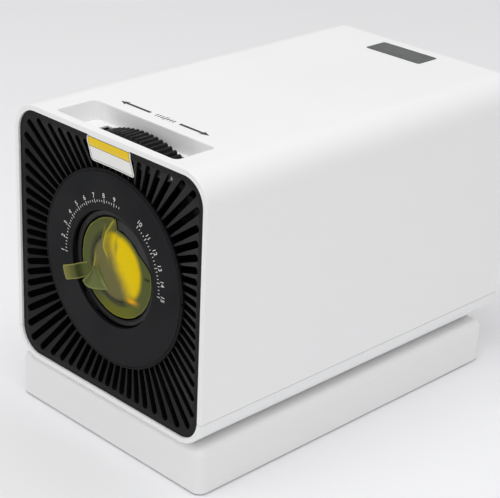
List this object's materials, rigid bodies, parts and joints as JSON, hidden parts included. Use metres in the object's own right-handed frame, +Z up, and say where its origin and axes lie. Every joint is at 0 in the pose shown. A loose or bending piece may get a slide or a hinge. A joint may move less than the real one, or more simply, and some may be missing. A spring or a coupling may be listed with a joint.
{
  "type": "projector with built-in disc player",
  "caption": "White box-shaped table-top projector with a slotted black front, a glass lens, a toothed focus ring in a well on top, and a disc player with a sliding tray in its base.",
  "frame": {"origin": "on the table, under the middle of the housing", "axes": "+Z up, +Y from the lens towards the rear panel, so the lens looks along -Y; the disc tray opens towards -X"},
  "size_m": [0.15, 0.244, 0.1772],
  "materials": {
    "white_housing": "fine satin, moulded",
    "white_base": "smooth, moulded",
    "grille_black": "fine satin, moulded",
    "bezel_black": "satin, moulded",
    "sticker_paper": "coated label",
    "badge_grey": "satin",
    "focus_ring_black": "matt, toothed",
    "inner_black": "matt",
    "barrel_black": "satin",
    "lens_ring_grey": "satin",
    "steel": "turned",
    "lens_glass": "polished, coated",
    "optical_acrylic": "moulded, fine grooves",
    "lcd_glass": "flat glass",
    "film_yellow": "thin film",
    "heat_sink_metal": "extruded",
    "led_ceramic": "matt, with a yellow dome",
    "rear_panel_black": "fine texture",
    "key_grey": "satin",
    "board_green": "coated circuit board",
    "socket_metal": "plated sheet",
    "socket_black": "moulded",
    "infrared_dark": "polished, dark red",
    "foot_rubber": "matt",
    "base_floor_grey": "moulded",
    "drive_steel": "galvanised sheet",
    "tray_black": "moulded",
    "pickup_metal": "cast"
  },
  "bodies": {
    "root": {"audio_socket": "socket_black", "badge_plate": "badge_grey", "base_cover": "white_base", "base_floor": "base_floor_grey", "base_screws": "steel", "condenser_holder": "inner_black", "condenser_lens": "lens_glass", "data_socket": "socket_metal", "drive_chassis": "drive_steel", "drive_lid": "drive_steel", "fan_frame": "inner_black", "field_lenses": "optical_acrylic", "front_grille": "grille_black", "front_sticker": "sticker_paper", "heat_glass": "lens_glass", "heat_sink": "heat_sink_metal", "housing_screws": "steel", "housing_sleeve": "white_housing", "infrared_window": "infrared_dark", "key_board": "board_green", "lcd_panel": "lcd_glass", "led_module": "led_ceramic", "lens_bezel": "bezel_black", "lens_mount_plate": "inner_black", "light_tunnel": "inner_black", "lower_housing": "white_housing", "main_board": "board_green", "player_board": "board_green", "power_board": "board_green", "power_inlet": "socket_black", "rear_panel": "rear_panel_black", "ring_retainer": "inner_black", "rubber_feet": "foot_rubber", "speakers": "inner_black", "tunnel_cover": "inner_black", "video_socket": "socket_metal"},
    "focus_ring": {"focus_ring": "focus_ring_black"},
    "lens": {"lens_barrel": "barrel_black", "focus_pins": "steel", "lens_retaining_ring": "lens_ring_grey", "front_lens": "lens_glass", "middle_lens": "lens_glass", "rear_lens": "lens_glass", "rear_retaining_ring": "lens_ring_grey", "lens_film": "film_yellow"},
    "fan_rotor": {"fan_rotor": "inner_black"},
    "power_button": {"power_button": "key_grey"},
    "source_button": {"source_button": "key_grey"},
    "tray": {"disc_tray": "tray_black", "tray_face": "white_base", "tray_board": "board_green", "traverse_frame": "drive_steel", "guide_rods": "steel", "tray_motors": "drive_steel"},
    "rails": {"tray_rails": "drive_steel"},
    "disc_hub": {"disc_hub": "tray_black"},
    "laser_pickup": {"laser_pickup": "pickup_metal"},
    "lead_screw": {"lead_screw": "steel"},
    "eject_button": {"eject_button": "white_base"}
  },
  "joints": [
    {"name": "focus_turn", "type": "hinge", "parent": "root", "child": "focus_ring", "pos_m": [0, -0.1, 0.102], "axis": [0, 1, 0], "range_deg": [0, 60]},
    {"name": "focus_slide", "type": "slide", "parent": "root", "child": "lens", "axis": [0, -1, 0], "range_m": [0, 0.008]},
    {"name": "fan_spin", "type": "hinge", "parent": "root", "child": "fan_rotor", "pos_m": [0, 0.112, 0.102], "axis": [0, 1, 0], "continuous": true},
    {"name": "power_press", "type": "slide", "parent": "root", "child": "power_button", "axis": [0, -1, 0], "range_m": [0, 0.0008], "stiffness_N_per_m": 400, "springref_m": -0.0006},
    {"name": "source_press", "type": "slide", "parent": "root", "child": "source_button", "axis": [0, -1, 0], "range_m": [0, 0.0008], "stiffness_N_per_m": 400, "springref_m": -0.0006},
    {"name": "tray_slide", "type": "slide", "parent": "root", "child": "tray", "axis": [-1, 0, 0], "range_m": [0, 0.108]},
    {"name": "rails_slide", "type": "slide", "parent": "root", "child": "rails", "axis": [-1, 0, 0], "range_m": [0, 0.054]},
    {"name": "disc_spin", "type": "hinge", "parent": "tray", "child": "disc_hub", "pos_m": [-0.0105, -0.00415, 0.0125], "axis": [0, 0, 1], "continuous": true},
    {"name": "laser_slide", "type": "slide", "parent": "tray", "child": "laser_pickup", "axis": [0.7071, 0.7071, 0], "range_m": [0, 0.0335]},
    {"name": "lead_screw_turn", "type": "hinge", "parent": "tray", "child": "lead_screw", "pos_m": [-0.02075, 0.0061, 0.0102], "axis": [0.7071, 0.7071, 0], "range_deg": [0, 4021]},
    {"name": "eject_press", "type": "slide", "parent": "tray", "child": "eject_button", "axis": [1, 0, 0], "range_m": [0, 0.001], "stiffness_N_per_m": 300, "springref_m": -0.0006}
  ],
  "couplings": [
    {"joint": "focus_slide", "follows": "focus_turn", "m_per_rad": 0.0076394},
    {"joint": "rails_slide", "follows": "tray_slide", "ratio": 0.5},
    {"joint": "lead_screw_turn", "follows": "laser_slide", "rad_per_m": 2094.4}
  ]
}
